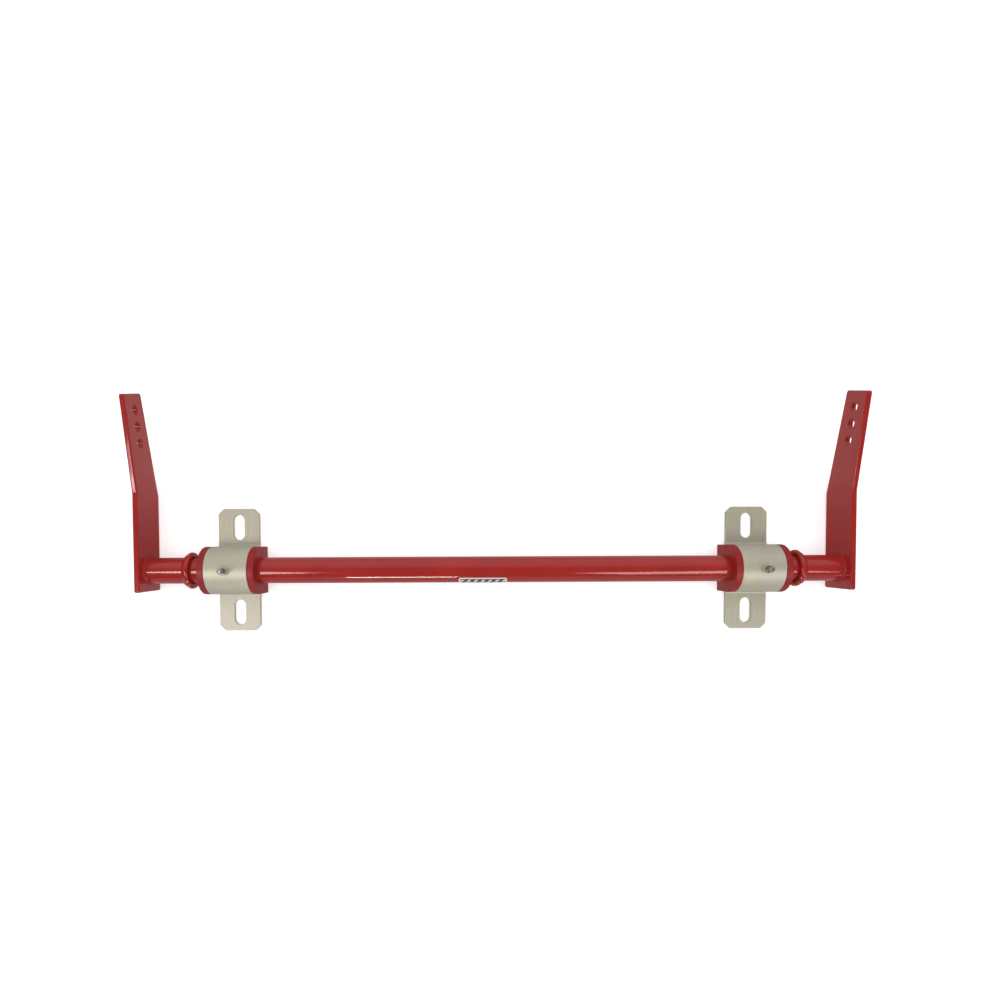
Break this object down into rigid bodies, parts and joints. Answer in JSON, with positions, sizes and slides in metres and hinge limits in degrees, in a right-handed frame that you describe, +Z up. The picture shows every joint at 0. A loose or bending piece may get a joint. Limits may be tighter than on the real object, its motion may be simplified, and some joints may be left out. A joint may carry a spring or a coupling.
{
  "type": "sway bar",
  "caption": "Tubular sway bar with flat dog-leg end arms, welded stop rings, and slotted strap brackets over greased split bushings that turn on the bar.",
  "frame": {"origin": "on the surface that the bushing bases stand on, under the middle of the whole part's box", "axes": "+X along the bar to the right-hand arm, +Y from the bar towards the end-link holes, +Z up, away from the vehicle frame that the bases seat on"},
  "size_m": [0.8508, 0.2871, 0.0759],
  "materials": {
    "powder_coat": "gloss powder coat over steel",
    "polyurethane": "moulded, satin, slightly waxy",
    "zinc_plate": "zinc plate with a pale yellow passivation",
    "fitting_steel": "machined and zinc plated",
    "spring_steel": "drawn wire",
    "ball_steel": "polished",
    "label_film": "printed vinyl"
  },
  "bodies": {
    "bar": {"tube": "powder_coat", "left_arm": "powder_coat", "left_arm_weld": "powder_coat", "left_stop_ring": "powder_coat", "left_ring_weld": "powder_coat", "right_arm": "powder_coat", "right_arm_weld": "powder_coat", "right_stop_ring": "powder_coat", "right_ring_weld": "powder_coat", "tube_label": "label_film"},
    "left_bushing_body": {"left_bushing": "polyurethane"},
    "left_bracket_body": {"left_bracket": "zinc_plate", "left_fitting_boss": "zinc_plate", "left_grease_fitting": "fitting_steel", "left_fitting_spring": "spring_steel"},
    "left_ball_body": {"left_check_ball": "ball_steel"},
    "right_bushing_body": {"right_bushing": "polyurethane"},
    "right_bracket_body": {"right_bracket": "zinc_plate", "right_fitting_boss": "zinc_plate", "right_grease_fitting": "fitting_steel", "right_fitting_spring": "spring_steel"},
    "right_ball_body": {"right_check_ball": "ball_steel"}
  },
  "joints": [
    {"name": "left_bushing_turn", "type": "hinge", "parent": "bar", "child": "left_bushing_body", "pos_m": [-0.31703, -0.0675, 0.0273], "axis": [1, 0, 0], "continuous": true},
    {"name": "left_bracket_lift", "type": "slide", "parent": "left_bushing_body", "child": "left_bracket_body", "axis": [0, 0, 1], "range_m": [0, 0.07]},
    {"name": "left_ball_press", "type": "slide", "parent": "left_bracket_body", "child": "left_ball_body", "axis": [0, 0, -1], "range_m": [0, 0.0008], "stiffness_N_per_m": 500, "springref_m": -0.0006, "deforming": ["left_fitting_spring"]},
    {"name": "right_bushing_turn", "type": "hinge", "parent": "bar", "child": "right_bushing_body", "pos_m": [0.31703, -0.0675, 0.0273], "axis": [1, 0, 0], "continuous": true},
    {"name": "right_bracket_lift", "type": "slide", "parent": "right_bushing_body", "child": "right_bracket_body", "axis": [0, 0, 1], "range_m": [0, 0.07]},
    {"name": "right_ball_press", "type": "slide", "parent": "right_bracket_body", "child": "right_ball_body", "axis": [0, 0, -1], "range_m": [0, 0.0008], "stiffness_N_per_m": 500, "springref_m": -0.0006, "deforming": ["right_fitting_spring"]}
  ],
  "couplings": [
    {"joint": "right_bushing_turn", "follows": "left_bushing_turn", "ratio": 1}
  ]
}
